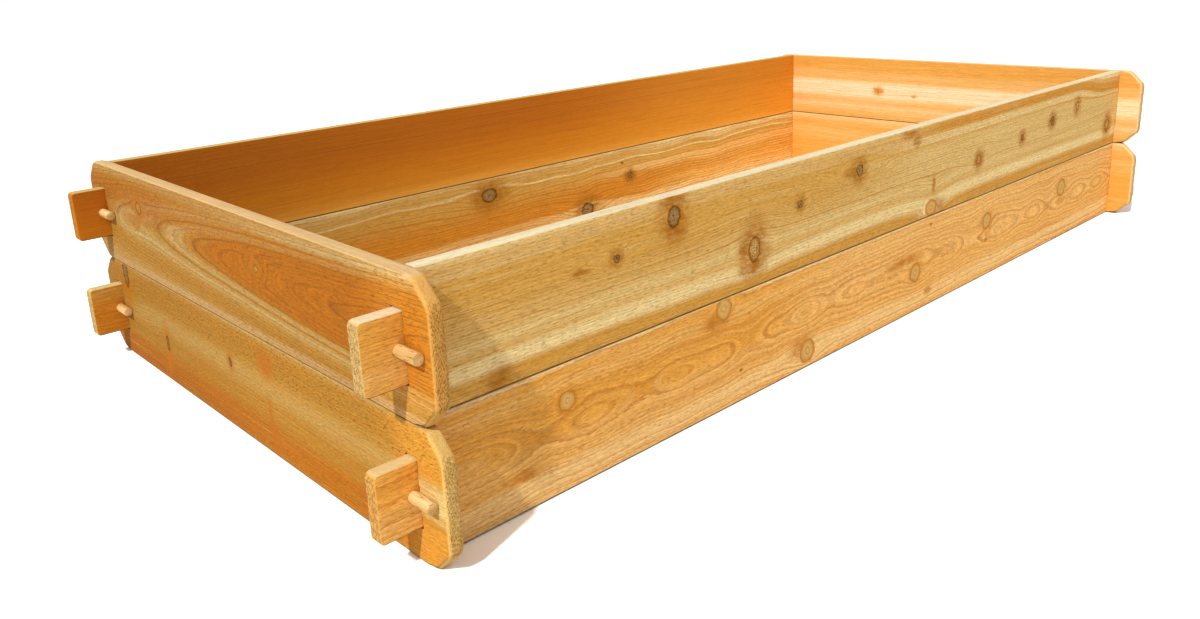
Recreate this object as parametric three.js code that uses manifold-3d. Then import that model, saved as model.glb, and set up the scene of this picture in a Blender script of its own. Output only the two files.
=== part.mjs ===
// A raised garden bed: two stacked tiers of cedar boards. At each corner of a tier a side board's
// tenon passes through a mortise in the end board, and a wooden peg through the tenon locks it.
// Millimetres. X runs along the bed, Y from front to back and Z up from the ground, with the
// origin under the middle of the bed.

import * as THREE from 'three';
import { mergeVertices } from 'three/addons/utils/BufferGeometryUtils.js';
import Module from 'manifold-3d';

// The bed
const innerLength = 1701.8; // between the end boards' inner faces
const outerWidth = 825.5; // over the side boards' outer faces
const seatGap = 0.3; // between pieces that touch

// The boards
const boardHeight = 149;
const boardThickness = 17.5;
const edgeEase = 1.6; // radius that breaks every long edge
const easeSteps = 3;

// The ears, where an end board runs on past the side boards
const earLength = 44.5;
const earClip = 26; // height and depth of the corner cut off at 45 degrees
const earBendRadius = 15; // rounds the two bends of that cut
const earBendSteps = 4;
const earRoundover = 4.8; // radius that rounds the edge of the ear
const earRunout = 12; // length over which that round fades into the long edge
const earRunoutSteps = 4;

// The tenons
const tenonReach = 46; // how far a tenon stands out past the end board
const tenonHeight = 73;
const tenonBottom = 39.5; // above the lower edge of its board
const tenonCornerRadius = 6;
const tenonCornerSteps = 5;
const mortiseSideGap = 0.5;
const mortiseEndGap = 1.6;

// The pegs
const pegDiameter = 12.7;
const pegReach = 32.5; // past each face of the tenon
const pegChamfer = 1;
const pegSides = 24;

const wasm = await Module();
wasm.setup();

const clearOf = 5; // how far a cutting tool runs past the wood

// Turns a closed geometry into a solid that can be cut.
function toSolid(geometry) {
  const bare = geometry.clone();
  bare.deleteAttribute('normal');
  bare.deleteAttribute('uv');
  const welded = mergeVertices(bare, 1e-4);
  const vertProperties = new Float32Array(welded.attributes.position.array);
  const triVerts = new Uint32Array(welded.index.array);
  return new wasm.Manifold(new wasm.Mesh({ numProp: 3, vertProperties, triVerts }));
}

function toGeometry(solid) {
  const { vertProperties, triVerts } = solid.getMesh();
  const geometry = new THREE.BufferGeometry();
  geometry.setAttribute('position', new THREE.BufferAttribute(vertProperties, 3));
  geometry.setIndex(new THREE.BufferAttribute(triVerts, 1));
  geometry.computeVertexNormals();
  return geometry;
}

// An outline through corners [x, y, radius] that turns left all the way, or right at a radius of 0.
function roundedOutline(corners, arcSteps) {
  const points = [];
  corners.forEach(([x, y, radius], i) => {
    const corner = new THREE.Vector2(x, y);
    if (!radius) {
      points.push(corner);
      return;
    }
    const before = corners.at(i - 1);
    const after = corners[(i + 1) % corners.length];
    const inward = corner.clone().sub(new THREE.Vector2(before[0], before[1])).normalize();
    const outward = new THREE.Vector2(after[0], after[1]).sub(corner).normalize();
    const turn = Math.acos(inward.dot(outward));
    const start = corner.clone().addScaledVector(inward, -radius * Math.tan(turn / 2));
    const centre = start.clone().add(new THREE.Vector2(-inward.y, inward.x).multiplyScalar(radius));
    const startAngle = Math.atan2(start.y - centre.y, start.x - centre.x);
    const arc = new THREE.ArcCurve(centre.x, centre.y, radius, startAngle, startAngle + turn, false);
    points.push(...arc.getPoints(arcSteps));
  });
  return points;
}

// Moves each point of an outline into its wood by that point's own distance.
function insetOutline(points, distances) {
  return points.map((point, i) => {
    const before = point.clone().sub(points.at(i - 1)).normalize();
    const after = points[(i + 1) % points.length].clone().sub(point).normalize();
    const mitre = new THREE.Vector2(-before.y - after.y, before.x + after.x);
    return point.clone().addScaledVector(mitre, distances[i] / (1 + before.dot(after)));
  });
}

// A plate of this outline, standing in the YZ plane and as thick as a board along X. Its edges are
// rounded on both faces by a radius that may change from point to point round the outline.
function roundedPlate(points, radii) {
  const rings = [];
  const addRing = (angle, place) => {
    const inset = radii.map((radius) => radius * (1 - Math.sin(angle)));
    const outline = insetOutline(points, inset);
    rings.push(outline.map((point, i) => [place(radii[i] * (1 - Math.cos(angle))), point.x, point.y]));
  };
  for (let step = 0; step <= easeSteps; step += 1) {
    addRing((step / easeSteps) * (Math.PI / 2), (depth) => depth);
  }
  for (let step = easeSteps; step >= 0; step -= 1) {
    addRing((step / easeSteps) * (Math.PI / 2), (depth) => boardThickness - depth);
  }
  const count = points.length;
  const triangles = [];
  for (let ring = 0; ring < rings.length - 1; ring += 1) {
    for (let i = 0; i < count; i += 1) {
      const here = ring * count + i;
      const next = ring * count + ((i + 1) % count);
      triangles.push(here, next, here + count);
      triangles.push(next, next + count, here + count);
    }
  }
  const face = THREE.ShapeUtils.triangulateShape(insetOutline(points, radii), []);
  const farFace = (rings.length - 1) * count;
  face.forEach(([a, b, c]) => {
    triangles.push(a, c, b);
    triangles.push(a + farFace, b + farFace, c + farFace);
  });
  const geometry = new THREE.BufferGeometry();
  geometry.setAttribute('position', new THREE.Float32BufferAttribute(rings.flat(2), 3));
  geometry.setIndex(triangles);
  return geometry;
}

// The centre of a peg, out from the middle of the bed and up from the lower edge of its board.
const pegOut = innerLength / 2 + boardThickness + seatGap + pegDiameter / 2;
const pegUp = tenonBottom + tenonHeight / 2;

// A side board: one outline with a tenon at each end, its outer face at y = 0.
function sideBoard() {
  const shoulder = innerLength / 2 - seatGap;
  const tip = innerLength / 2 + boardThickness + tenonReach;
  const tenonTop = tenonBottom + tenonHeight;
  const outline = roundedOutline([
    [-shoulder, 0, 0],
    [shoulder, 0, 0],
    [shoulder, tenonBottom, 0],
    [tip, tenonBottom, tenonCornerRadius],
    [tip, tenonTop, tenonCornerRadius],
    [shoulder, tenonTop, 0],
    [shoulder, boardHeight, 0],
    [-shoulder, boardHeight, 0],
    [-shoulder, tenonTop, 0],
    [-tip, tenonTop, tenonCornerRadius],
    [-tip, tenonBottom, tenonCornerRadius],
    [-shoulder, tenonBottom, 0],
  ], tenonCornerSteps);
  const board = new THREE.ExtrudeGeometry(new THREE.Shape(outline), {
    depth: boardThickness - 2 * edgeEase,
    bevelThickness: edgeEase,
    bevelSize: edgeEase,
    bevelOffset: -edgeEase,
    bevelSegments: easeSteps,
  });
  board.rotateX(Math.PI / 2);
  board.translate(0, boardThickness - edgeEase, 0);
  const boreRadius = pegDiameter / 2 + seatGap;
  const boreLength = boardThickness + 2 * clearOf;
  let solid = toSolid(board);
  for (const end of [-1, 1]) {
    const bore = new THREE.CylinderGeometry(boreRadius, boreRadius, boreLength, pegSides);
    bore.translate(end * pegOut, boardThickness / 2, pegUp);
    solid = solid.subtract(toSolid(bore));
  }
  return toGeometry(solid);
}

// An end board: clipped, rounded ears at both ends and a mortise for each side board's tenon, its
// outer face at x = 0.
function endBoard() {
  const tip = outerWidth / 2 + earLength;
  const bendLength = earBendRadius * Math.tan(Math.PI / 8);
  const roundStart = tip - earClip - bendLength;
  const fade = [];
  for (let step = 0; step < earRunoutSteps; step += 1) {
    fade.push(roundStart - earRunout * (1 - step / earRunoutSteps));
  }
  const ear = [
    [tip - earClip, 0, earBendRadius],
    [tip, earClip, earBendRadius],
    [tip, boardHeight - earClip, earBendRadius],
    [tip - earClip, boardHeight, earBendRadius],
  ];
  const lowerFade = fade.map((y) => [y, 0, 0]);
  const upperFade = fade.map((y) => [y, boardHeight, 0]).reverse();
  const half = [...lowerFade, ...ear, ...upperFade];
  const otherHalf = half.map(([y, z, radius]) => [-y, boardHeight - z, radius]);
  const outline = roundedOutline([...half, ...otherHalf], earBendSteps);
  const radii = outline.map((point) => {
    const along = THREE.MathUtils.smoothstep(Math.abs(point.x), roundStart - earRunout, roundStart);
    return THREE.MathUtils.lerp(edgeEase, earRoundover, along);
  });
  let solid = toSolid(roundedPlate(outline, radii));
  for (const side of [-1, 1]) {
    const mortise = new THREE.BoxGeometry(
      boardThickness + 2 * clearOf,
      boardThickness + 2 * mortiseSideGap,
      tenonHeight + 2 * mortiseEndGap,
    );
    mortise.translate(boardThickness / 2, side * (outerWidth - boardThickness) / 2, pegUp);
    solid = solid.subtract(toSolid(mortise));
  }
  return toGeometry(solid);
}

// A peg: a turned dowel with chamfered ends, standing along Y about its middle.
function peg() {
  const radius = pegDiameter / 2;
  const half = boardThickness / 2 + pegReach;
  const profile = [
    new THREE.Vector2(0, -half),
    new THREE.Vector2(radius - pegChamfer, -half),
    new THREE.Vector2(radius, pegChamfer - half),
    new THREE.Vector2(radius, half - pegChamfer),
    new THREE.Vector2(radius - pegChamfer, half),
    new THREE.Vector2(0, half),
  ];
  return toGeometry(toSolid(new THREE.LatheGeometry(profile, pegSides)));
}

function piece(name, geometry, colour, roughness) {
  const material = new THREE.MeshStandardMaterial({ color: colour, roughness, metalness: 0 });
  const mesh = new THREE.Mesh(geometry, material);
  mesh.name = name;
  return mesh;
}

// Each tier's boards have their own colour, as cedar boards from different logs do.
const sawnRoughness = 0.75;
const planedRoughness = 0.6;
const tiers = [
  { name: 'lower', front: 0xc98a4a, back: 0xc48443, left: 0xd9a45c, right: 0xe0a353 },
  { name: 'upper', front: 0xd6a767, back: 0xb0702f, left: 0xd39c58, right: 0xdf9f4d },
];
const pegColour = 0xcfa075;

const sideBoardShape = sideBoard();
const endBoardShape = endBoard();
const pegShape = peg();

// One tier, standing on z = 0.
function buildTier({ name, front, back, left, right }) {
  const tier = new THREE.Group();

  const frontBoard = piece(`${name}_front_side_board`, sideBoardShape, front, planedRoughness);
  frontBoard.position.y = -outerWidth / 2;
  const backBoard = piece(`${name}_back_side_board`, sideBoardShape, back, planedRoughness);
  backBoard.position.y = outerWidth / 2 - boardThickness;

  const leftBoard = piece(`${name}_left_end_board`, endBoardShape, left, sawnRoughness);
  leftBoard.position.x = -innerLength / 2 - boardThickness;
  const rightBoard = piece(`${name}_right_end_board`, endBoardShape, right, sawnRoughness);
  rightBoard.position.x = innerLength / 2;
  tier.add(frontBoard, backBoard, leftBoard, rightBoard);

  for (const [sideName, side] of [['front', -1], ['back', 1]]) {
    for (const [endName, end] of [['left', -1], ['right', 1]]) {
      const cornerPeg = piece(`${name}_${sideName}_${endName}_peg`, pegShape, pegColour, planedRoughness);
      cornerPeg.position.set(end * pegOut, side * (outerWidth - boardThickness) / 2, pegUp);
      tier.add(cornerPeg);
    }
  }
  return tier;
}

const bed = new THREE.Group();
tiers.forEach((tier, level) => {
  const group = buildTier(tier);
  group.position.z = level * (boardHeight + seatGap);
  bed.add(group);
});

export default bed;
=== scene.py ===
import math
import random
from types import SimpleNamespace

import bmesh
import bpy
from mathutils import Color, Matrix, Vector


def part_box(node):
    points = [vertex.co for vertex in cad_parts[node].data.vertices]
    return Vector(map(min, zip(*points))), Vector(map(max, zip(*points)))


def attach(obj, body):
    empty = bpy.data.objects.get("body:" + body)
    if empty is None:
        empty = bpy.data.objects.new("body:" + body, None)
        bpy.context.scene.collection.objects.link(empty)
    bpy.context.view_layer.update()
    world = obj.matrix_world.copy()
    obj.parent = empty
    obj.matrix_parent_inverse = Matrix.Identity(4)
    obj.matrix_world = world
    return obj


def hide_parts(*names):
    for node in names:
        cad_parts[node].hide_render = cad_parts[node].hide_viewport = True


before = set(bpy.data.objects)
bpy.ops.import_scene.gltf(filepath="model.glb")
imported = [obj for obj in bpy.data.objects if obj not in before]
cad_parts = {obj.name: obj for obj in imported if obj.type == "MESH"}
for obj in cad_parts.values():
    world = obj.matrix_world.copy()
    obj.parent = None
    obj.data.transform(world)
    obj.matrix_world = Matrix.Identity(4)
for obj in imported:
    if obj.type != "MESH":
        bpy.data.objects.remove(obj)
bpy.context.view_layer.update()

tolerance = 1e-5      # metres, for two places that count as one
sharpTurn = 1.5       # radians between the two faces of a sharp edge
smoothTurn = 32       # degrees up to which an edge is shaded smooth


def deselectAll():
    bpy.ops.object.select_all(action="DESELECT")


def makeActive(piece):
    deselectAll()
    piece.select_set(True)
    bpy.context.view_layer.objects.active = piece


def editPiece(piece):
    makeActive(piece)
    bpy.ops.object.mode_set(mode="EDIT")
    bpy.ops.mesh.select_all(action="DESELECT")


def leaveEdit():
    bpy.ops.object.mode_set(mode="OBJECT")


def pickEdges(piece, wanted):
    bpy.ops.mesh.select_mode(type="EDGE")
    bpy.ops.mesh.select_all(action="DESELECT")
    mesh = bmesh.from_edit_mesh(piece.data)
    for edge in mesh.edges:
        edge.select_set(wanted(edge, edge.verts[0].co, edge.verts[1].co))
    bmesh.update_edit_mesh(piece.data)


def pickFaces(piece, wanted):
    bpy.ops.mesh.select_mode(type="FACE")
    bpy.ops.mesh.select_all(action="DESELECT")
    mesh = bmesh.from_edit_mesh(piece.data)
    for face in mesh.faces:
        face.select_set(wanted(face.calc_center_median(), face.normal))
    bmesh.update_edit_mesh(piece.data)


def addBlock(name, low, high):
    deselectAll()
    middle = (Vector(low) + Vector(high)) / 2
    bpy.ops.mesh.primitive_cube_add(size=1, location=middle)
    block = bpy.context.object
    block.scale = Vector(high) - Vector(low)
    bpy.ops.object.transform_apply(location=True, rotation=True, scale=True)
    block.name = name
    block.data.name = name
    return block


def cutAcross(axis, places):
    # cuts the whole mesh with planes square to one axis
    normal = [0, 0, 0]
    normal[axis] = 1
    for place in places:
        point = [0, 0, 0]
        point[axis] = place
        bpy.ops.mesh.select_all(action="SELECT")
        bpy.ops.mesh.bisect(plane_co=point, plane_no=normal)


def cutOut(piece, cutter):
    makeActive(piece)
    cut = piece.modifiers.new("cut", "BOOLEAN")
    cut.object = cutter
    cut.operation = "DIFFERENCE"
    cut.solver = "EXACT"
    bpy.ops.object.modifier_apply(modifier=cut.name)
    bpy.data.objects.remove(cutter)


def same(a, b):
    return abs(a - b) < tolerance


def sharp(edge):
    return edge.calc_face_angle(0) > sharpTurn


def steps(start, end, count):
    # evenly spaced places between two ends
    return [start + (end - start) * i / count for i in range(1, count)]


sideSizes = {
    "shoulder": 0.8506,       # from the middle of the bed
    "tenonBottom": 0.0395,    # above the board's lower edge
    "tenonTop": 0.1125,
    "tenonCorner": 0.006,     # radius of the tenon's end corners
    "tenonCornerSteps": 6,
    "tenonSteps": 8,          # faces along a tenon
    "ease": 0.0016,           # radius on the edges
    "easeSteps": 4,
    "pegOut": 0.87505,
    "pegUp": 0.076,
    "boreRadius": 0.00665,
    "boreSides": 40,
    "boreDepth": 0.03,        # of the cutter, which stands out of both faces
    "columns": 212,
    "rows": (5, 10, 5),       # below, across and above the tenon
}


def modelSideBoard(node, sizes):
    low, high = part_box(node)
    bottom, top = low.z + sizes["tenonBottom"], low.z + sizes["tenonTop"]
    shoulder = sizes["shoulder"]
    board = addBlock("side board", (-shoulder, low.y, low.z), (shoulder, high.y, high.z))
    editPiece(board)
    pickEdges(board, lambda edge, a, b: same(a.y, b.y) and same(a.z, b.z))
    bpy.ops.mesh.subdivide(number_cuts=sizes["columns"] - 1)
    below, across, above = sizes["rows"]
    cutAcross(2, steps(low.z, bottom, below) + [bottom] + steps(bottom, top, across) + [top]
              + steps(top, high.z, above))
    for end in (-1, 1):
        pickFaces(board, lambda c, n: same(c.x, end * shoulder) and bottom < c.z < top)
        reach = (high.x - shoulder) / sizes["tenonSteps"] * end
        for step in range(sizes["tenonSteps"]):
            bpy.ops.mesh.extrude_region_move(TRANSFORM_OT_translate={"value": (reach, 0, 0)})
    pickEdges(board, lambda edge, a, b: sharp(edge) and same(abs(a.x), high.x)
              and same(a.x, b.x) and same(a.z, b.z))
    bpy.ops.mesh.bevel(offset=sizes["tenonCorner"], segments=sizes["tenonCornerSteps"],
                       affect="EDGES")
    pickEdges(board, lambda edge, a, b: same(a.y, b.y) and sharp(edge))
    bpy.ops.mesh.bevel(offset=sizes["ease"], segments=sizes["easeSteps"], affect="EDGES")
    leaveEdit()
    for end in (-1, 1):
        deselectAll()
        bpy.ops.mesh.primitive_cylinder_add(
            vertices=sizes["boreSides"], radius=sizes["boreRadius"], depth=sizes["boreDepth"],
            rotation=(math.pi / 2, 0, 0),
            location=(end * sizes["pegOut"], (low.y + high.y) / 2, low.z + sizes["pegUp"]))
        cutOut(board, bpy.context.object)
    return board


endSizes = {
    "clip": 0.026,            # corner cut off each ear at 45 degrees
    "bend": 0.015,            # radius that rounds the clip's two bends
    "bendSteps": 6,
    "roundover": 0.0048,      # radius round the ears
    "ease": 0.0016,           # radius on the long edges
    "runout": 0.012,          # length over which one turns into the other
    "runoutSteps": 4,
    "roundSteps": 5,
    "mortiseUp": 0.076,
    "mortiseHigh": 0.0762,
    "mortiseWide": 0.0185,
    "tears": 17,              # places up a mortise where its edge may be torn
    "tearSeed": 11,
    "tearChance": (-0.4, 1),  # share of a tear's width; below zero the edge stays whole
    "tearDeep": 0.0015,
    "tearWide": 0.005,
    "cutterOver": 0.0005,     # how far the cutter stands out of the faces
    "columns": 104,
    "rows": 20,
}


def modelEndBoard(node, sideNodes, sizes):
    chance = random.Random(sizes["tearSeed"])
    low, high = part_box(node)
    board = addBlock("end board", low, high)
    editPiece(board)
    pickEdges(board, lambda edge, a, b: same(a.y, b.y) and same(a.z, b.z))
    bpy.ops.mesh.bevel(offset=sizes["clip"], segments=1, affect="EDGES")
    pickEdges(board, lambda edge, a, b: same(a.y, b.y) and same(a.z, b.z))
    bendLength = sizes["bend"] * math.tan(math.radians(45) / 2)
    bpy.ops.mesh.bevel(offset=bendLength, segments=sizes["bendSteps"], affect="EDGES")
    pickEdges(board, lambda edge, a, b: same(a.x, b.x))
    bpy.ops.mesh.bevel(offset=sizes["roundover"], segments=sizes["roundSteps"], affect="EDGES")
    roundStart = high.y - sizes["clip"] - bendLength
    fadeStart = roundStart - sizes["runout"]
    fadeSteps = [fadeStart] + steps(fadeStart, roundStart, sizes["runoutSteps"])
    cutAcross(1, [side * place for side in (-1, 1) for place in fadeSteps])
    cutAcross(1, steps(-fadeStart, fadeStart, sizes["columns"]))
    cutAcross(2, steps(low.z, high.z, sizes["rows"]))
    leaveEdit()
    # on the long edges the roundover shrinks to a small ease
    least = sizes["ease"] / sizes["roundover"]
    for vertex in board.data.vertices:
        place = vertex.co
        face = low.x if place.x < (low.x + high.x) / 2 else high.x
        edge = low.z if place.z < (low.z + high.z) / 2 else high.z
        away = max(abs(place.x - face), abs(place.z - edge))
        if abs(place.y) < roundStart - tolerance and away < sizes["roundover"] + tolerance:
            share = max(0, (abs(place.y) - fadeStart) / sizes["runout"])
            smooth = share * share * (3 - 2 * share)
            scale = least + (1 - least) * smooth
            place.x = face + (place.x - face) * scale
            place.z = edge + (place.z - edge) * scale
    for side in sideNodes:
        sideLow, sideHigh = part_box(side)
        middleY = (sideLow.y + sideHigh.y) / 2
        middleZ = low.z + sizes["mortiseUp"]
        half = Vector((0, sizes["mortiseWide"] / 2, sizes["mortiseHigh"] / 2))
        cutter = addBlock("mortise cutter",
                          Vector((low.x - sizes["cutterOver"], middleY, middleZ)) - half,
                          Vector((high.x + sizes["cutterOver"], middleY, middleZ)) + half)
        editPiece(cutter)
        cutAcross(2, steps(middleZ - half.z, middleZ + half.z, sizes["tears"]))
        cutAcross(0, [low.x + sizes["tearDeep"]])
        leaveEdit()
        # the saw tore the wood where it left the outer face
        for vertex in cutter.data.vertices:
            place = vertex.co
            if place.x < low.x:
                torn = max(0, chance.uniform(*sizes["tearChance"])) * sizes["tearWide"]
                place.y += torn if place.y > middleY else -torn
        editPiece(cutter)
        bpy.ops.mesh.select_all(action="SELECT")
        bpy.ops.mesh.quads_convert_to_tris()
        leaveEdit()
        cutOut(board, cutter)
    return board


pegSizes = {"sides": 40, "chamfer": 0.001, "chamferSteps": 3}


def modelPeg(node, sizes):
    low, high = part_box(node)
    deselectAll()
    bpy.ops.mesh.primitive_cylinder_add(
        vertices=sizes["sides"], radius=(high.x - low.x) / 2, depth=high.y - low.y,
        rotation=(math.pi / 2, 0, 0), location=(low + high) / 2)
    peg = bpy.context.object
    bpy.ops.object.transform_apply(location=True, rotation=True, scale=True)
    editPiece(peg)
    pickEdges(peg, lambda edge, a, b: same(a.y, b.y))
    bpy.ops.mesh.bevel(offset=sizes["chamfer"], segments=sizes["chamferSteps"], affect="EDGES")
    leaveEdit()
    return peg


nodeGrid = {"columns": 24, "width": 180, "height": 260}


class Wire:
    # a place in a node tree that sums can be written on
    def __init__(self, tree, socket=None):
        self.tree = tree
        self.socket = socket

    def node(self, kind, settings, inputs, output=0):
        made = self.tree.nodes.new(kind)
        row, column = divmod(len(self.tree.nodes), nodeGrid["columns"])
        made.location = (column * nodeGrid["width"], -row * nodeGrid["height"])
        for name, value in settings.items():
            if name == "stops":
                setStops(made.color_ramp, value)
            else:
                setattr(made, name, value)
        for name, value in inputs.items():
            if isinstance(value, Wire):
                self.tree.links.new(value.socket, made.inputs[name])
            else:
                made.inputs[name].default_value = value
        return Wire(self.tree, made.outputs[output])

    def other(self, output):
        return Wire(self.tree, self.socket.node.outputs[output])

    def feed(self, shader, name):
        self.tree.links.new(self.socket, shader.inputs[name])

    def math(self, operation, *values):
        return self.node("ShaderNodeMath", {"operation": operation}, dict(enumerate(values)))

    def vector(self, operation, *values, output=0):
        return self.node("ShaderNodeVectorMath", {"operation": operation},
                         dict(enumerate(values)), output)

    def __add__(self, other):
        return self.math("ADD", self, other)

    def __sub__(self, other):
        return self.math("SUBTRACT", self, other)

    def __rsub__(self, other):
        return self.math("SUBTRACT", other, self)

    def __mul__(self, other):
        return self.math("MULTIPLY", self, other)

    def __truediv__(self, other):
        return self.math("DIVIDE", self, other)

    def __rtruediv__(self, other):
        return self.math("DIVIDE", other, self)

    def __pow__(self, other):
        return self.math("POWER", self, other)

    __radd__ = __add__
    __rmul__ = __mul__


def setStops(ramp, stops):
    while len(ramp.elements) < len(stops):
        ramp.elements.new(1)
    for element, (place, colour) in zip(ramp.elements, stops):
        element.position = place
        element.color = colour


tones = {
    "milk": "f0dcae", "cream": "e5cc98", "straw": "dabb80", "tan": "d2a765", "honey": "cc9a4c",
    "gold": "c68d38", "bronze": "9c6a26", "peach": "efc484", "apricot": "e9b062", "amber": "e3a045",
    "tawny": "da9438", "orange": "cf8224", "russet": "ba6817", "rust": "a6560e", "umber": "7a4312",
    "shade": "5a3414", "stone": "a3835a", "bark": "4a280f", "copper": "c97818", "sienna": "b06c14",
    "blush": "e6c298", "ivory": "f6ead0", "ember": "bd6a18",
}


def paint(tone):
    # linear colour of a named tone
    code = tones[tone]
    srgb = [int(code[i:i + 2], 16) / 255 for i in (0, 2, 4)]
    return (*Color(srgb).from_srgb_to_scene_linear(), 1)


def combine(x, y, z):
    wire = next(v for v in (x, y, z) if isinstance(v, Wire))
    return wire.node("ShaderNodeCombineXYZ", {}, {0: x, 1: y, 2: z})


def fade(value, low, high, start=0.0, end=1.0):
    # smooth step from start to end as value goes from low to high
    return value.node("ShaderNodeMapRange", {"interpolation_type": "SMOOTHSTEP"},
                      {0: value, 1: low, 2: high, 3: start, 4: end})


def noise(vector, detail=2.0, roughness=0.5):
    return vector.node("ShaderNodeTexNoise", {},
                       {"Vector": vector, "Scale": 1.0, "Detail": detail, "Roughness": roughness})


def mixPaint(factor, a, b):
    return factor.node("ShaderNodeMix", {"data_type": "RGBA"},
                       {0: factor, 6: paint(a) if isinstance(a, str) else a,
                        7: paint(b) if isinstance(b, str) else b}, 2)


def scalePaint(colour, amount):
    # a colour made lighter or darker by a number
    colour = paint(colour)[:3] if isinstance(colour, str) else colour
    return amount.node("ShaderNodeVectorMath", {"operation": "SCALE"}, {0: colour, "Scale": amount})


def bandRamp(value, bands):
    # a colour that runs through (value, tone) pairs
    start, end = bands[0][0], bands[-1][0]
    stops = [((at - start) / (end - start), paint(tone)) for at, tone in bands]
    return value.node("ShaderNodeValToRGB", {"stops": stops}, {0: (value - start) / (end - start)})


woodShine = 0.12


def newMaterial(name):
    material = bpy.data.materials.new(name)
    material.use_nodes = True
    shader = material.node_tree.nodes["Principled BSDF"]
    shader.inputs["Specular IOR Level"].default_value = woodShine
    return material, Wire(material.node_tree), shader


# tones of a knot by distance from its heart over its radius
knotTones = {
    "disc": [(0.0, "peach"), (0.3, "honey"), (0.5, "apricot"), (0.75, "tan"), (0.88, "honey"),
             (0.98, "orange"), (1.1, "copper"), (1.25, "amber")],
    "pale": [(0.0, "straw"), (0.45, "tan"), (0.75, "honey"), (0.9, "sienna"), (1.0, "umber"),
             (1.2, "sienna")],
    "grey": [(0.0, "shade"), (0.18, "stone"), (0.55, "stone"), (0.8, "bronze"), (0.95, "bark"),
             (1.2, "sienna")],
    "pin": [(0.0, "bark"), (0.3, "bronze"), (0.65, "stone"), (0.92, "bark"), (1.2, "sienna")],
    "soft": [(0.0, "russet"), (0.4, "tawny"), (0.8, "amber"), (1.0, "orange"), (1.2, "amber")],
}


millimetres = 1000            # in a metre
farOff = 9.0                  # radii of a knot, past everything painted round it
asGiven = (1, 1, 1)           # for a place that is already divided by its lengths

# the texture that every board shares
grain = {
    # noises: their lengths in millimetres along the grain, up the board or across its rings,
    # and into it, then their detail and roughness
    "shake": ((11, 8, 12), 3.0, 0.6),
    "slow": ((1, 110, 40), 1.0, 0.5),
    "bend": (asGiven, 1.0, 0.5),
    "blur": ((120, 6, 9), 4.0, 0.65),
    "fray": ((14, 3.2, 3.2), 2.0, 0.6),
    "wander": ((9, 900, 1), 2.0, 0.5),            # across the rings first
    "fibre": ((26, 1.3, 1.3), 4.0, 0.75),
    "streaks": ((220, 3.2, 5), 4.0, 0.7),
    "rough": ((7, 1.9, 1.9), 3.0, 0.65),
    "pits": (asGiven, 2.0, 0.6),
    "blotch": ((15, 6, 9), 4.0, 0.7),
    "knotRings": ((1, 300, 1), 1.0, 0.5),         # outwards from the heart first
    "crack": ((5, 4, 5), 2.0, 0.5),
    "worn": ((22, 7, 1), 3.0, 0.6),
    "pores": ((9, 3, 0.8), 3.0, 0.7),
    # ranges in which something fades in, some with its own start and end
    "lateEnd": (1.0, 0.88),
    "lineGaps": (0.3, 0.6, 0.5, 1.0),
    "darkStreaks": (0.46, 0.72),
    "lightStreaks": (0.5, 0.3),
    "pitEdge": (0.57, 0.66),
    "blotchEdge": (0.38, 0.62),
    "stainEdge": (0.2, 1.3, 0.95, 0.0),
    "knotEdge": (1.0, 1.22, 1.0, 0.0),
    "knotBlotch": (0, 1, 0.75, 1),
    "crackEdge": (0.035, 0.0),
    "insideKnot": (1.0, 0.7),
    # where the painted shade of the gaps between boards goes, by normal and by height
    "turnedDown": (-0.1, -0.45),                  # an edge rounded under, by its normal
    "notUnder": (-0.98, -0.85),
    "lowestEdge": (2.3, 1.2),                     # millimetres up
    "topStreaks": (0.3, 0.7, 1.05, 0.85),
    "turnedUp": (0.2, 0.7),
    "earEnds": (414, 424),                        # millimetres from the middle of the bed
    "tornWood": (0.05, 0.25),
    "endWood": (0.15, 0.6),
    "endRings": (0.6, 0.9),
    "poreEdge": (0.5, 0.6),
    "poreEnd": (0.6, 0.95),
    "roughness": (0.2, 0.8, 0.7, 0.88),
    # lengths in millimetres
    "raggedBy": (9, 8, 0),
    "lightSway": 90,
    "slideRise": 25,
    "stripeSoft": (3, 3),
    "denseSoft": (5, 3),
    "pitSoft": (8, 4),
    # shares
    "partingStretch": 0.45,
    "partingCore": 0.5,
    "weakestRing": 0.3,
    "lightStreak": 0.8,
    "leastPits": 0.2,
    "leastStain": 0.5,
    "leastHalo": 0.4,
    "knotRingCount": 6,                           # in a knot's radius
    "knotRingWarp": 0.15,
    "knotRingShade": 0.5,
    "knotFibre": 0.4,
    "crackDark": 0.8,
    "creviceDark": 0.85,
    "wornBy": 0.9,
    "tornDark": 0.8,
    "endFray": 0.25,
    "endRingDark": 0.5,
    "poreDark": 0.75,
    # relief
    "fibreRise": 0.35,
    "lineDip": 0.3,
    "pitDip": 0.8,
    "relief": {"Strength": 0.8, "Distance": 0.0008},
}


def woodNoise(kind, *place):
    # one of the shared noises, at a place in millimetres
    lengths, detail, roughness = grain[kind]
    if len(place) == 1:
        scaled = place[0].vector("MULTIPLY", place[0], [1 / length for length in lengths])
    else:
        scaled = combine(*[part if length == 1 else part / length
                           for part, length in zip(place, lengths)])
    return noise(scaled, detail, roughness)


def between(value, low, high, soft):
    # 1 between two values, fading out over soft lengths outside and inside them
    outside, inside = soft
    return fade(value, low - outside, low + inside) * fade(value, high + outside, high - inside)


def lift(value, least):
    # a share from 0 to 1 raised to run from least to 1
    return value * (1 - least) + least


def around(wood, u, v, halfU, halfV):
    # place from a centre, in shares of the half sizes
    return wood.ragged.vector("MULTIPLY_ADD", wood.ragged, (1 / halfU, 1 / halfV, 0),
                              (-u / halfU, -v / halfV, 0))


def lesser(value, other):
    return value.math("MINIMUM", value, other)


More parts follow.
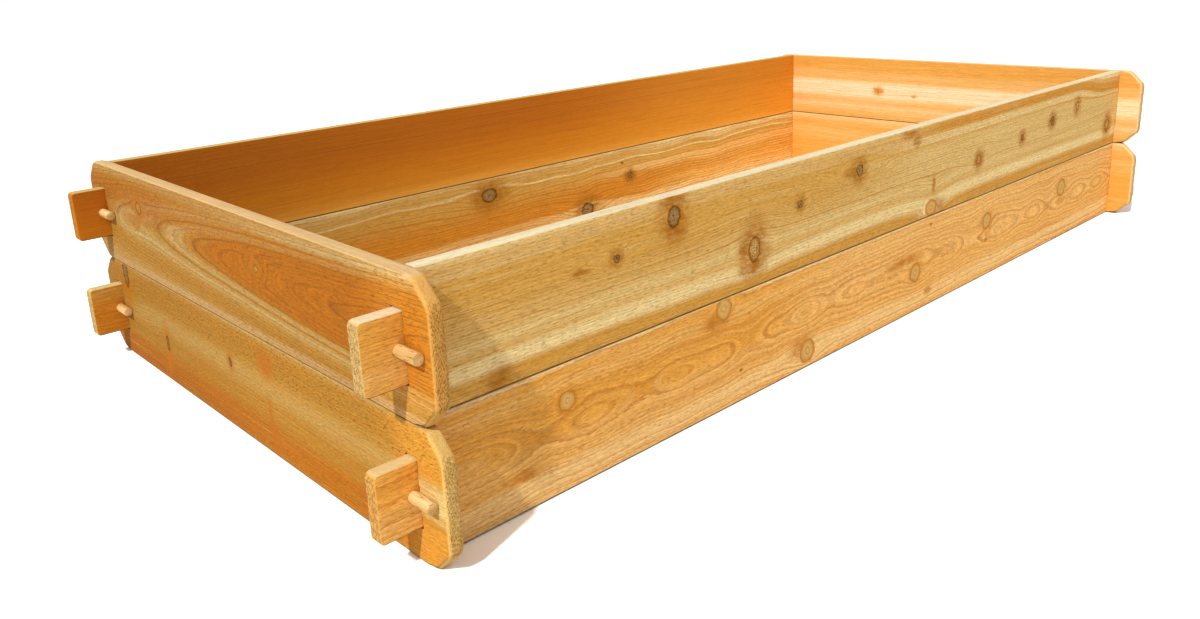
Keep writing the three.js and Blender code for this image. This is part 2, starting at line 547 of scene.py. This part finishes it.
def woodSpace(source, look, box):
    # millimetres along the grain, up the board, and into the wood from its outer face
    low, high = box
    place = source.node("ShaderNodeTexCoord", {}, {}, "Object")
    x = place.node("ShaderNodeSeparateXYZ", {}, {0: place})
    y, z = x.other(1), x.other(2)
    wood = SimpleNamespace(facing=place.other("Normal"))
    if look["runs"] == "x":
        wood.along, wood.axis = x * millimetres, (1, 0, 0)
        wood.deep = (y - low.y if low.y < 0 else high.y - y) * millimetres
    else:
        wood.along, wood.axis = y * millimetres, (0, 1, 0)
        wood.deep = (x - low.x if low.x < 0 else high.x - x) * millimetres
    wood.up = (z - low.z) * millimetres
    wood.spot = combine(wood.along, wood.up, wood.deep)
    shake = woodNoise("shake", wood.spot).other(1)
    moved = shake.vector("MULTIPLY_ADD", shake, grain["raggedBy"],
                         [-reach / 2 for reach in grain["raggedBy"]])
    wood.ragged = wood.spot.vector("ADD", wood.spot, moved)
    return wood


def partGrain(wood, look):
    # how far up the knots push the grain, and the distance to the nearest knot of each kind
    push, wood.halo, wood.rims = 0.0, farOff, {}
    for kind, knots in look["knots"].items():
        wood.rims[kind] = farOff
        for u, v, halfU, halfV in knots:
            local = around(wood, u, v, halfU, halfV)
            distance = local.vector("LENGTH", local, output=1)
            wood.rims[kind] = lesser(distance, wood.rims[kind])
            if kind != "disc":
                wood.halo = lesser(distance, wood.halo)
            long = local.vector("MULTIPLY", local, (grain["partingStretch"], 1, 0))
            spread = long.vector("DOT_PRODUCT", long, long, output=1)
            height = local.vector("DOT_PRODUCT", local, (0, 1, 0), output=1)
            push = height / (spread + grain["partingCore"]) * (halfV * look["parting"]) + push
    return push


def layRings(wood, look):
    # level is the height of the swaying grain, and ring the distance across the growth rings
    along, up, deep = wood.along, wood.up, wood.deep
    push = partGrain(wood, look)
    wood.slow = woodNoise("slow", along / look["swayLength"], up, deep) - 0.5
    level = up + wood.slow * look["sway"] - push
    for u, width, drop, top in look.get("sags", []):
        away = (along - u) / width
        level = fade(up, top, top / 2) * drop / (away * away + 1) + level
    for start, end, above, shift in look.get("slides", []):
        rise = fade(up, above - grain["slideRise"], above)
        level = fade(along, start, end) * rise * shift + level
    if "pith" in look:
        pith = look["pith"]
        bend = woodNoise("bend", along / pith["length"], 0, 0) - 0.5
        hollow = along * pith["slope"] + (deep + pith["deep"]) + bend * pith["wander"]
        across = level - pith["up"]
        ring = (across * across + hollow * hollow) ** 0.5
    else:
        ring = level + deep * look["lean"]
    for u, v, halfU, halfV, height in look.get("eyes", []):
        local = around(wood, u, v, halfU, halfV)
        spread = local.vector("DOT_PRODUCT", local, local, output=1)
        ring = height / (spread * spread + 1) + ring
    wood.level, wood.ring = level, ring


def paintBands(wood, look):
    # heartwood and sapwood, then painted light and shade over the whole board
    along, level, ring = wood.along, wood.level, wood.ring
    byRing = look["bandsBy"] == "ring"
    blur = woodNoise("blur", along, ring, wood.deep) - 0.5
    banded = (ring if byRing else level) + blur * look["blur"]
    colour = bandRamp(banded, look["bands"])
    swayed = along + wood.slow * grain["lightSway"]
    for tone, bottom, top, start, end, amount in look.get("stripes", []):
        inside = between(level if byRing else banded, bottom, top, grain["stripeSoft"])
        colour = mixPaint(inside * fade(swayed, start, end) * amount, colour, tone)
    # painted light and shade: each board made lighter or darker, as a whole and along its length,
    # for the light that falls on its face
    light = fade(swayed, *look["lights"])
    for start, end, nearLight in look.get("nearer", []):
        light = light * fade(along, start, end, nearLight, 1.0)
    return scalePaint(colour, light)


def paintRings(wood, look, colour):
    # each growth ring darkens slowly and ends in a thin dark line; streaks, fibres and pits
    # lie over them
    along, up, deep, ring = wood.along, wood.up, wood.deep, wood.ring
    wood.fray = woodNoise("fray", along, up, deep) - 0.5
    wander = woodNoise("wander", ring, along, 0)
    count = (ring + wander * look["uneven"] + wood.fray * look["fray"]) / look["ringWidth"]
    share = count.math("FRACT", count)
    whole = count.math("FLOOR", count)
    strength = count.node("ShaderNodeTexWhiteNoise", {"noise_dimensions": "1D"}, {"W": whole})
    wood.late = (share ** look["ringEdge"] * fade(share, *grain["lateEnd"])
                 * lift(strength, grain["weakestRing"]))
    wood.fibre = woodNoise("fibre", along, ring, deep)
    wood.streaks = woodNoise("streaks", along, ring, deep)
    wood.rough = woodNoise("rough", along + up * look["lean"] * 2, up, deep)
    wood.lines = wood.late * fade(wood.fibre, *grain["lineGaps"]) * look["ringDark"]
    if "dense" in look:
        start, end, plain = look["dense"]
        wood.lines = wood.lines * lift(between(wood.level, start, end, grain["denseSoft"]), plain)
    dark = fade(wood.streaks, *grain["darkStreaks"]) * look["streaks"]
    colour = mixPaint(dark, colour, look["dark"])
    light = fade(wood.streaks, *grain["lightStreaks"]) * look["streaks"] * grain["lightStreak"]
    colour = mixPaint(light, colour, look["light"])
    colour = mixPaint(wood.lines, colour, look["line"])
    shading = (wood.fibre - 0.5) * look["fibre"] + (wood.rough - 0.5) * look["rough"] + 1
    colour = scalePaint(colour, shading)
    size = look["pitSize"]
    leaning = (along + up * look["pitLean"]) / look["pitLength"]
    spots = woodNoise("pits", leaning, up / size, deep / size)
    wood.pits = fade(spots, *grain["pitEdge"]) * look["pits"]
    if "pitRange" in look:
        inside = between(up, *look["pitRange"], grain["pitSoft"])
        wood.pits = wood.pits * lift(inside, grain["leastPits"])
    return mixPaint(wood.pits, colour, look["line"])


def paintKnots(wood, look, colour):
    # stains, a warm halo round the knots, and the knots; only discs have no halo and no cracks
    blotch = fade(woodNoise("blotch", wood.ragged), *grain["blotchEdge"])
    stained = farOff
    for u, v, halfU, halfV in look.get("stains", []):
        local = around(wood, u, v, halfU, halfV)
        stained = lesser(local.vector("LENGTH", local, output=1), stained)
    if look.get("stains"):
        stain = fade(stained, *grain["stainEdge"]) * lift(blotch, grain["leastStain"])
        colour = mixPaint(stain, colour, look["stain"])
    if wood.rims:
        warm = fade(wood.halo, 1.0, look["haloReach"], 1.0, 0.0) * lift(blotch, grain["leastHalo"])
        colour = mixPaint(warm * look["haloDark"], colour, look["halo"])
    wood.cracks = 0.0
    for kind, rim in wood.rims.items():
        rings = woodNoise("knotRings", rim * grain["knotRingCount"], wood.along, 0) - 0.5
        heart = bandRamp(rim + rings * grain["knotRingWarp"], knotTones[kind])
        shading = (rings * grain["knotRingShade"] + (wood.fibre - 0.5) * grain["knotFibre"]
                   + look["knotLight"])
        inside = fade(rim, *grain["knotEdge"])
        if kind == "disc":
            colour = mixPaint(inside, colour, scalePaint(heart, shading))
            continue
        blotched = fade(blotch, *grain["knotBlotch"])
        colour = mixPaint(inside * blotched, colour, scalePaint(heart, shading))
        edge = woodNoise("crack", wood.spot) - 0.5
        width = edge.math("ABSOLUTE", edge)
        crack = fade(width, *grain["crackEdge"]) * fade(rim, *grain["insideKnot"])
        wood.cracks = crack + wood.cracks
        colour = mixPaint(crack * grain["crackDark"], colour, "bark")
    return colour


def paintEdges(wood, look, colour):
    # painted shade on the lower edges and in the gaps between boards, upper faces paler as planed
    # wood with a painted highlight, and end grain with open pores
    along, facing = wood.along, wood.facing
    upward = facing.vector("DOT_PRODUCT", facing, (0, 0, 1), output=1)
    # painted shade: faces rounded under, and the lowest millimetres of each board, darkened as the
    # shadow in the gaps between boards and against the floor
    paintedGapShade = fade(upward, *grain["turnedDown"]) * fade(upward, *grain["notUnder"])
    paintedGapShade = paintedGapShade.math("MAXIMUM", paintedGapShade, fade(wood.up, *grain["lowestEdge"]))
    colour = mixPaint(paintedGapShade * grain["creviceDark"], colour, "bark")
    worn = woodNoise("worn", along, wood.deep, 0) - 0.5
    # paler faces turned up: partly the planed wood's own paler tone and wear, partly a painted
    # highlight of the light from above
    topShade = fade(wood.streaks, *grain["topStreaks"]) * look["topLight"]
    pale = fade(upward + worn * grain["wornBy"], *grain["turnedUp"]) * look["topPale"]
    colour = mixPaint(pale, colour, scalePaint(look["topEdge"], topShade))
    endwise = facing.vector("DOT_PRODUCT", facing, wood.axis, output=1)
    endwise = endwise.math("ABSOLUTE", endwise)
    if look["runs"] == "y":     # painted shade on the mortise walls and their torn edges, and end grain on the ears alone
        ears = fade(along.math("ABSOLUTE", along), *grain["earEnds"])
        # painted shade: the walls and torn notches of the mortises darkened as the shade inside
        # them
        torn = fade(endwise, *grain["tornWood"]) * (1 - ears)
        colour = mixPaint(torn * grain["tornDark"], colour, "umber")
        endwise = endwise * ears
    pores = woodNoise("pores", along, wood.up, wood.deep)
    wood.holes = fade(pores, *grain["poreEdge"]) * fade(endwise, *grain["poreEnd"])
    endShade = (wood.fray * grain["endFray"] + 1) * look["endLight"]
    colour = mixPaint(fade(endwise, *grain["endWood"]) * look["endRough"], colour,
                      scalePaint(look["endPale"], endShade))
    endLines = wood.late * fade(endwise, *grain["endRings"]) * grain["endRingDark"]
    colour = mixPaint(endLines, colour, look["line"])
    return mixPaint(wood.holes * grain["poreDark"], colour, look["endDark"])


def cedar(name, look, box):
    material, source, shader = newMaterial(name)
    wood = woodSpace(source, look, box)
    layRings(wood, look)
    colour = paintBands(wood, look)
    colour = paintRings(wood, look, colour)
    colour = paintKnots(wood, look, colour)
    colour = paintEdges(wood, look, colour)
    colour = colour.vector("MULTIPLY", colour, look["tint"])
    colour.feed(shader, "Base Color")
    fade(wood.fibre, *grain["roughness"]).feed(shader, "Roughness")
    height = (wood.fibre * grain["fibreRise"] - wood.lines * grain["lineDip"]
              + wood.rough * look["sawn"] - wood.pits * grain["pitDip"] - wood.holes - wood.cracks)
    bump = height.node("ShaderNodeBump", {}, {**grain["relief"], "Height": height})
    bump.feed(shader, "Normal")
    return material


# What a board's look may hold, in millimetres from its lower edge and from the middle of the bed:
# bands: (height, tone), or (distance from the pith, tone) where bandsBy is "ring"
# stripes: (tone, bottom, top, where it starts to show, where it shows fully, amount)
# lights: painted light and shade, (start, end, brightness at the start, brightness at the end)
# nearer: more painted light towards the near ends, (start, end, brightness at the start), with
# plain brightness from the end on
# sags: (along, width, drop, height above which it is gone); slides: (start, end, above, shift)
# pith: where the tree's middle ran, and how it wanders
# knots and stains: (along, up, half length, half height); eyes: the same, then the rings' rise
# dense: (bottom, top, share of the ring lines left elsewhere); pitRange: (bottom, top)
plainLook = {
    "lean": 0.5, "sway": 7, "swayLength": 420, "blur": 7, "uneven": 7, "ringWidth": 5,
    "ringEdge": 3, "ringDark": 0.55, "fray": 1.6, "streaks": 0.5, "fibre": 1.1, "rough": 0.7,
    "pits": 0.5, "pitLean": 0.0, "pitLength": 9, "pitSize": 1.4, "sawn": 0.7, "bandsBy": "level",
    "dark": "gold", "light": "cream", "line": "bronze", "parting": 0.9,
    "halo": "sienna", "haloDark": 1.0, "haloReach": 3.8, "stain": "sienna", "knotLight": 1.0,
    "topEdge": "cream", "topLight": 1.0, "topPale": 0.85,
    "endDark": "sienna", "endPale": "straw", "endRough": 0.85, "endLight": 1.0,
    "lights": (-850, 850, 1.0, 1.0), "tint": (1, 0.98, 0.84), "knots": {},
}

everywhere = (-2000, -1000)   # a stripe's ends, both before the board, so it shows all along
looks = {
    "upper_front_side_board": {
        **plainLook, "runs": "x",
        "bands": [(0, "honey"), (18, "gold"), (27, "cream"), (36, "cream"), (44, "tan"),
                  (57, "straw"), (67, "tan"), (95, "honey"), (120, "honey"), (136, "gold"),
                  (143, "honey"), (149, "cream")],
        "stripes": [("straw", 66, 112, -250, 100, 0.75), ("cream", 116, 128, -150, 100, 0.7),
                    ("orange", 132, 155, -50, 300, 0.55), ("cream", 126, 149, 150, -50, 0.35),
                    ("tawny", 36, 150, -845, -857, 0.6)],
        "lights": (-600, 0, 1.23, 1.21), "nearer": [(-860, -845, 1.08)],
        "slides": [(640, 790, 118, 16)], "dense": (62, 94, 0.5),
        "sags": [(92, 50, 15, 80)],
        "ringDark": 1.5, "ringEdge": 4, "ringWidth": 3.6, "topEdge": "ivory", "topLight": 0.92,
        "knots": {
            "grey": [(-504, 124, 10, 13), (-117, 110, 8, 8)],
            "pale": [(-355, 50, 11, 16), (246, 65, 7, 7.5), (643, 104, 7, 8), (805, 44, 9, 11)],
            "disc": [(92, 14, 16, 12)],
            "pin": [(-597, 96, 4.5, 4.5), (-258, 90, 5, 4.5), (408, 78, 6, 6), (532, 90, 7, 7)],
        },
        "eyes": [(-597, 96, 30, 9, 9), (-264, 90, 36, 12, 10), (-146, 106, 54, 14, 12),
                 (-60, 100, 34, 10, 7), (240, 66, 60, 12, 8), (350, 88, 60, 8, 7)],
        "stains": [(-650, 93, 17, 5), (97, 50, 7, 18), (-766, 10, 18, 18), (20, 143, 30, 9),
                   (40, 128, 14, 12), (805, 44, 20, 21), (-504, 145, 26, 8), (-500, 103, 20, 10),
                   (-366, 26, 26, 8), (110, 14, 26, 16), (-378, 56, 12, 16), (246, 65, 15, 13),
                   (-140, 110, 22, 9), (532, 90, 20, 12)],
    },
    "lower_front_side_board": {
        **plainLook, "tint": (0.97, 0.98, 0.9), "runs": "x",
        "bands": [(0, "peach"), (9, "apricot"), (16, "peach"), (32, "peach"), (40, "apricot"),
                  (64, "apricot"), (80, "amber"), (112, "amber"), (124, "apricot"), (138, "amber"),
                  (149, "peach")],
        "stripes": [("peach", 112, 142, -400, 0, 0.4), ("blush", 143, 155, *everywhere, 0.7),
                    ("peach", 72, 112, -350, -200, 0.45), ("peach", 0, 20, -300, -500, 0.5)],
        "lights": (-700, -100, 1.17, 1.24), "nearer": [(-860, -845, 1.02)],
        "pith": {"up": 80, "deep": 24, "slope": 0.0, "length": 150, "wander": 40},
        "ringWidth": 5.2, "ringEdge": 2.4, "ringDark": 1.0, "line": "ember", "dark": "tawny",
        "light": "peach", "fray": 3.4, "sway": 6, "rough": 0.85, "sawn": 1.1, "endPale": "apricot",
        "uneven": 12, "halo": "copper", "stain": "copper",
        "knots": {
            "disc": [(-678, 105.5, 11, 11), (-416, 136, 14, 14), (-236, 24, 16, 16),
                     (53, 65, 14.5, 14.5), (291, 100, 13.5, 13.5), (600, 101, 16, 16)],
            "pin": [(-382, 44, 1.6, 1.4), (95, 134, 1.8, 1.3), (291, 66, 2.6, 1.6)],
        },
        "stains": [(95, 25, 14, 8), (-745, 42, 26, 8), (-678, 104, 20, 18), (-430, 124, 34, 16),
                   (20, 92, 60, 10), (-250, 34, 34, 18), (291, 98, 26, 20), (600, 98, 28, 22),
                   (53, 66, 24, 20)],
    },
    "upper_back_side_board": {
        **plainLook, "tint": (1, 1, 0.8), "runs": "x",
        "bands": [(0, "amber"), (20, "orange"), (50, "copper"), (90, "russet"), (149, "russet")],
        # painted light: the tawny stripe and the lights below brighten the inner face towards its
        # right end, where more light reaches it
        "stripes": [("tawny", -5, 155, 0, 500, 0.45)],
        "lights": (-850, 850, 1.0, 1.42), "ringWidth": 3.2, "ringDark": 0.9, "line": "umber",
        "dark": "rust", "light": "orange", "streaks": 0.3, "pits": 0.1, "fray": 0.5,
        "rough": 0.2, "sawn": 0.2, "fibre": 0.5, "dense": (100, 155, 0.3), "sway": 3,
        "swayLength": 900, "topEdge": "straw", "endPale": "orange",
    },
    "lower_back_side_board": {
        **plainLook, "tint": (0.97, 1, 0.85), "runs": "x",
        "bands": [(0, "orange"), (70, "orange"), (112, "honey"), (119, "honey"), (122, "cream"),
                  (126, "honey"), (141, "tan"), (149, "cream")],
        "stripes": [("cream", 14, 40, -100, 200, 0.5), ("peach", 88, 106, 60, 300, 0.6),
                    ("apricot", 40, 112, 250, 600, 0.5), ("cream", 132, 155, 100, 500, 0.7),
                    ("apricot", 0, 60, 200, 500, 0.7), ("peach", 16, 40, *everywhere, 0.6)],
        "eyes": [(97, 33, 70, 40, 20), (-166, 115, 60, 28, 14), (231, 85, 50, 22, 9)],
        "lights": (-700, 600, 1.02, 1.38), "ringDark": 1.3, "line": "russet", "dark": "orange",
        "light": "tan", "ringWidth": 6, "swayLength": 160, "sway": 22,
        "knots": {"grey": [(-166, 115, 18, 14), (97, 33, 16, 14)],
                  "pin": [(231, 85, 7, 7), (206, 118, 2, 1.6)]},
        "stains": [(-170, 112, 40, 24), (231, 85, 20, 12)], "rough": 0.4, "sawn": 0.4,
    },
    "upper_left_end_board": {
        **plainLook, "tint": (0.97, 0.93, 0.72), "runs": "y", "bandsBy": "ring", "blur": 1.5,
        "uneven": 1.5, "fray": 0.9,
        "bands": [(27, "copper"), (51, "copper"), (54.5, "gold"), (57, "straw"), (60, "gold"),
                  (65, "straw"), (71, "honey"), (80, "gold"), (88, "honey"), (98, "tan")],
        "stripes": [("copper", 100, 134, *everywhere, 0.55), ("blush", 138, 155, *everywhere, 0.25),
                    ("blush", -5, 12, *everywhere, 0.5), ("russet", 84, 128, 100, 220, 0.35),
                    ("tawny", 20, 140, -330, -400, 0.5)],
        "lights": (-400, 400, 0.72, 0.7), "nearer": [(-420, -300, 1.35)], "knotLight": 0.72,
        "pith": {"up": 86, "deep": 50, "slope": 0.05, "length": 130, "wander": 4},
        "ringWidth": 3.4, "ringEdge": 8, "ringDark": 1.9, "line": "umber",
        "dark": "copper", "light": "gold", "streaks": 0.3, "topEdge": "blush",
        "knots": {"pale": [(-108, 90, 5, 5), (257, 103, 9, 8)]}, "parting": 1.6,
        "eyes": [(305, 73, 40, 12, -4), (-108, 90, 30, 14, 7)], "endLight": 0.96,
        "endPale": "apricot", "endDark": "rust",
        "stains": [(257, 103, 20, 17), (-110, 88, 18, 8)],
    },
    "lower_left_end_board": {
        **plainLook, "tint": (0.96, 0.94, 0.66), "runs": "y", "sawn": 1.4, "rough": 1.1,
        "lights": (-250, 330, 0.78, 0.63), "knotLight": 0.7,
        "nearer": [(-430, -300, 1.28)], "stain": "russet",
        "stripes": [("russet", -8, 22, -150, 100, 0.4), ("cream", 54, 98, -372, -412, 0.5),
                    ("milk", 66, 88, -380, -415, 0.6), ("amber", 96, 150, -360, -400, 0.8),
                    ("amber", -5, 50, -360, -400, 0.8)],
        "bands": [(0, "gold"), (10, "copper"), (34, "copper"), (50, "gold"), (64, "gold"),
                  (84, "tan"), (94, "tan"), (104, "honey"), (113, "gold"), (140, "gold"),
                  (149, "tan")],
        "ringDark": 0.35, "line": "umber", "dark": "copper", "light": "honey", "streaks": 0.6,
        "pits": 0.6, "pitLean": 0.9, "pitLength": 5.5, "pitSize": 2.2, "pitRange": (106, 149),
        "topEdge": "blush", "topLight": 0.8, "topPale": 0.4, "endLight": 0.98, "endPale": "peach",
        "knots": {"grey": [(365, 136, 10, 22)], "pin": [(228, 60, 5, 11), (8, 93, 4, 6)]},
        "stains": [(-97, 18, 11, 46), (-93, 50, 6, 34), (230, 50, 5, 26), (236, 24, 8, 34),
                   (-95, 120, 26, 22)],
    },
    "upper_right_end_board": {
        **plainLook, "tint": (1, 1, 1), "runs": "y",
        "bands": [(0, "amber"), (15, "apricot"), (30, "peach"), (40, "apricot"), (52, "peach"),
                  (58, "milk"), (86, "milk"), (92, "peach"), (97, "apricot"), (113, "apricot"),
                  (122, "amber"), (149, "amber")],
        "lights": (-400, 400, 0.97, 0.97), "ringDark": 0.5, "line": "orange", "dark": "amber",
        "light": "peach", "pits": 0.15, "rough": 0.25, "sawn": 0.3, "fray": 0.6,
        "endPale": "peach",
        "knots": {"soft": [(142, 71, 6, 5)]}, "halo": "orange", "stain": "orange",
        "stains": [(45, 64, 10, 6), (142, 71, 16, 8)],
    },
    "lower_right_end_board": {
        **plainLook, "tint": (1, 1, 1), "runs": "y",
        "bands": [(0, "amber"), (80, "amber"), (110, "apricot"), (128, "amber"), (149, "peach")],
        "ringDark": 0.5, "line": "orange", "dark": "tawny", "light": "peach", "pits": 0.15,
        "rough": 0.25, "sawn": 0.3, "endPale": "peach",
    },
}


pegLook = {
    "slow": (90, 7, 130),          # waves in a metre across, along and up the peg
    "fine": (1600, 120, 1600),
    "fineDetail": 2.0,
    "fineRoughness": 0.6,
    "paleEdge": (0.3, 0.7),
    "ringCount": 16,
    "ringEdge": 5,
    "ringDark": 0.8,
    "fineShade": 0.5,
    "roughness": 0.7,
    "relief": {"Strength": 0.2, "Distance": 0.0002},
}


def pegWood(look):
    material, source, shader = newMaterial("peg wood")
    place = source.node("ShaderNodeTexCoord", {}, {}, "Object")
    slow = noise(place.vector("MULTIPLY", place, look["slow"]), 0.0)
    fine = noise(place.vector("MULTIPLY", place, look["fine"]), look["fineDetail"],
                 look["fineRoughness"])
    count = slow * look["ringCount"]
    share = count.math("FRACT", count)
    colour = mixPaint(fade(slow, *look["paleEdge"]), "peach", "tan")
    colour = mixPaint(share ** look["ringEdge"] * look["ringDark"], colour, "umber")
    colour = scalePaint(colour, (fine - 0.5) * look["fineShade"] + 1)
    colour.feed(shader, "Base Color")
    shader.inputs["Roughness"].default_value = look["roughness"]
    bump = fine.node("ShaderNodeBump", {}, {**look["relief"], "Height": fine})
    bump.feed(shader, "Normal")
    return material


def placeCopy(shape, node, source, body, material):
    # a copy of a modelled shape, moved from its own CAD node's place to another's
    piece = shape.copy()
    piece.data = shape.data.copy()
    bpy.context.scene.collection.objects.link(piece)
    piece.name = node.replace("_board", "") + "_wood" if "board" in node else node + "_dowel"
    piece.data.name = piece.name
    corner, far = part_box(source)
    if node.split("_")[1] == "right":     # a right end board is a left one turned round
        piece.data.transform(Matrix.Rotation(math.pi, 4, "Z"))
        corner = Vector((-far.x, -far.y, corner.z))
    piece.data.transform(Matrix.Translation(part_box(node)[0] - corner))
    piece.data.materials.clear()
    piece.data.materials.append(material)
    makeActive(piece)
    bpy.ops.object.shade_smooth_by_angle(angle=math.radians(smoothTurn))
    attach(piece, body)
    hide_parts(node)


slots = {
    "upper_front_side_board": "front_upper", "lower_front_side_board": "front_lower",
    "upper_back_side_board": "back_upper", "lower_back_side_board": "back_lower",
    "upper_left_end_board": "ends_upper", "upper_right_end_board": "ends_upper",
    "lower_left_end_board": "ends_lower", "lower_right_end_board": "ends_lower",
}

sideSource = "lower_front_side_board"
endSource = "lower_left_end_board"
pegSource = "lower_front_left_peg"
sideShape = modelSideBoard(sideSource, sideSizes)
print("side board modelled")
endShape = modelEndBoard(endSource, [sideSource, "lower_back_side_board"], endSizes)
print("end board modelled")
pegShape = modelPeg(pegSource, pegSizes)
print("peg modelled")

for node, slot in slots.items():
    tier = node.split("_")[0] + "_tier"
    side = "side" in node
    material = cedar(node.replace("_", " "), looks[node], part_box(node))
    placeCopy(sideShape if side else endShape, node, sideSource if side else endSource,
              tier, material)
pegMaterial = pegWood(pegLook)
for node in sorted(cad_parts):
    if node.endswith("_peg"):
        placeCopy(pegShape, node, pegSource, node, pegMaterial)
for shape in (sideShape, endShape, pegShape):
    bpy.data.objects.remove(shape)
print("boards and pegs placed")


studio = {
    "floorSize": 60,
    "floorDrop": 0.0005,     # below the bed, so that no two faces lie in one plane
    "floorTone": 0.8,
    "floorSeen": 1.25,       # the floor's tone as the camera sees it
    "sky": 0.52,
    "sun": 2.9,
    "sunTravel": (0.678, 0.202, -0.707),
    "sunSpread": 3,          # degrees across
    "cameraPlace": (-1.29944, -1.14387, 0.55810),
    "cameraTurn": (74.122, 2.2419, -43.6728),
    "sensor": 36,            # millimetres wide
    "lens": 29.2754,
    "farthest": 200,         # metres the camera sees
    "shift": (-0.00208, -0.06015),
}

deselectAll()
bpy.ops.mesh.primitive_plane_add(size=studio["floorSize"], location=(0, 0, -studio["floorDrop"]))
floor = bpy.context.object
floor.name = "floor"
floorMaterial = bpy.data.materials.new("pale floor")
floorMaterial.use_nodes = True
floorTree = floorMaterial.node_tree
seenDirectly = Wire(floorTree).node("ShaderNodeLightPath", {}, {}, "Is Camera Ray")
tone = fade(seenDirectly, 0, 1, studio["floorTone"], studio["floorSeen"])
plain = tone.node("ShaderNodeBsdfDiffuse", {}, {"Color": tone})
plain.feed(floorTree.nodes["Material Output"], "Surface")
floor.data.materials.append(floorMaterial)

world = bpy.data.worlds.new("studio")
bpy.context.scene.world = world
world.use_nodes = True
background = world.node_tree.nodes["Background"]
background.inputs["Color"].default_value = (1, 1, 1, 1)
ray = Wire(world.node_tree).node("ShaderNodeLightPath", {}, {}, "Is Camera Ray")
seen = ray.math("MAXIMUM", ray, ray.other("Is Glossy Ray"))
seen = seen.math("MAXIMUM", seen, ray.other("Is Transmission Ray"))
lift(seen, studio["sky"]).feed(background, "Strength")

sunLight = bpy.data.lights.new("sun", "SUN")
sunLight.energy = studio["sun"]
sunLight.angle = math.radians(studio["sunSpread"])
sun = bpy.data.objects.new("sun", sunLight)
bpy.context.scene.collection.objects.link(sun)
sun.rotation_euler = Vector(studio["sunTravel"]).to_track_quat("-Z", "Y").to_euler()

cameraData = bpy.data.cameras.new("camera")
cameraData.lens = studio["lens"]
cameraData.sensor_width = studio["sensor"]
cameraData.sensor_fit = "HORIZONTAL"
cameraData.shift_x, cameraData.shift_y = studio["shift"]
cameraData.clip_end = studio["farthest"]
viewer = bpy.data.objects.new("camera", cameraData)
viewer.location = studio["cameraPlace"]
viewer.rotation_euler = [math.radians(a) for a in studio["cameraTurn"]]
bpy.context.scene.collection.objects.link(viewer)
bpy.context.scene.camera = viewer
bpy.context.scene.view_settings.view_transform = "Standard"
print("floor, light and camera set")
